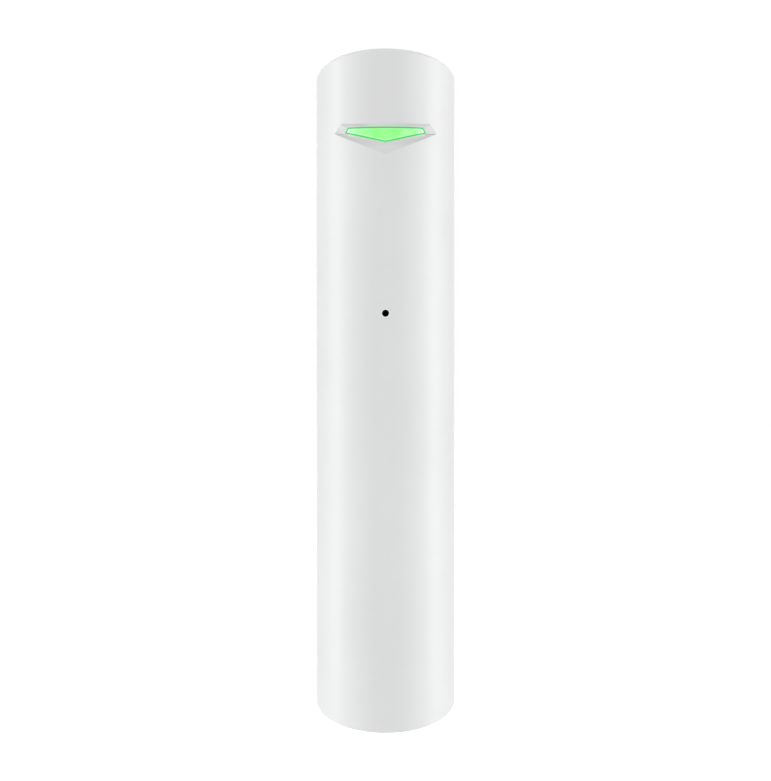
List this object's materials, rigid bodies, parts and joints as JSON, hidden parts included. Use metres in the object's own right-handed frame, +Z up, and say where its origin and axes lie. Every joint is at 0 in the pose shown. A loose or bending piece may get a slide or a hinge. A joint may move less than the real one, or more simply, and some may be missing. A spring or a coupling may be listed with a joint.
{
  "type": "glass break sensor",
  "caption": "Slim upright wireless glass break sensor with a half-round front, a bevelled green status light, a pinhole microphone and a slide-off wall bracket.",
  "frame": {"origin": "on the wall face of the bracket, at the middle of the sensor's width and height", "axes": "+Z up along the sensor, +Y into the wall, so the front looks along -Y; +X to the right as seen from the front"},
  "size_m": [0.02, 0.021, 0.09],
  "materials": {
    "white_shell": "matte",
    "bracket_plastic": "matte",
    "green_lens": "glossy",
    "black_mesh": "matte",
    "black_rubber": "matte",
    "can_metal": "satin",
    "tinned_metal": "satin",
    "board_laminate": "satin",
    "zinc_steel": "satin",
    "led_resin": "glossy",
    "chip_epoxy": "matte",
    "chip_ceramic": "satin",
    "gilt_metal": "satin",
    "cell_wrap": "glossy",
    "nickel_strip": "satin",
    "white_button": "satin",
    "grey_plunger": "satin",
    "switch_plastic": "matte",
    "terminal_plastic": "matte"
  },
  "bodies": {
    "bracket": {"mounting_bracket": "bracket_plastic"},
    "sensor": {"front_cover": "white_shell", "rear_housing": "white_shell", "indicator_lens": "green_lens", "acoustic_mesh": "black_mesh", "microphone_boot": "black_rubber", "microphone_capsule": "can_metal", "microphone_leads": "tinned_metal", "circuit_board": "board_laminate", "board_screws": "zinc_steel", "status_led": "led_resin", "microcontroller": "chip_epoxy", "crystal": "can_metal", "chip_components": "chip_ceramic", "radio_shield": "tinned_metal", "antenna_strip": "gilt_metal", "battery_cell": "cell_wrap", "battery_contact_positive": "nickel_strip", "battery_contact_negative": "nickel_strip", "battery_return_strip": "nickel_strip", "power_switch_body": "switch_plastic", "tamper_switch_body": "switch_plastic", "terminal_housing": "terminal_plastic", "terminal_clamp_left": "tinned_metal", "terminal_clamp_right": "tinned_metal"},
    "power_button": {"power_button": "white_button", "power_switch_stem": "switch_plastic"},
    "tamper": {"tamper_plunger": "grey_plunger", "tamper_switch_stem": "switch_plastic"},
    "terminal_screw_left": {"terminal_screw_left": "zinc_steel"},
    "terminal_screw_right": {"terminal_screw_right": "zinc_steel"}
  },
  "joints": [
    {"name": "sensor_slide", "type": "slide", "parent": "bracket", "child": "sensor", "axis": [0, 0, 1], "range_m": [0, 0.005]},
    {"name": "power_press", "type": "slide", "parent": "sensor", "child": "power_button", "axis": [0, -1, 0], "range_m": [0, 0.00045], "stiffness_N_per_m": 600, "springref_m": -0.0005},
    {"name": "tamper_press", "type": "slide", "parent": "sensor", "child": "tamper", "axis": [0, -1, 0], "range_m": [0, 0.0005], "stiffness_N_per_m": 400, "springref_m": -0.0005},
    {"name": "terminal_left_turn", "type": "hinge", "parent": "sensor", "child": "terminal_screw_left", "pos_m": [-0.00175, -0.0045, 0.0076], "axis": [0, 1, 0], "continuous": true},
    {"name": "terminal_right_turn", "type": "hinge", "parent": "sensor", "child": "terminal_screw_right", "pos_m": [0.00175, -0.0045, 0.0076], "axis": [0, 1, 0], "continuous": true}
  ]
}
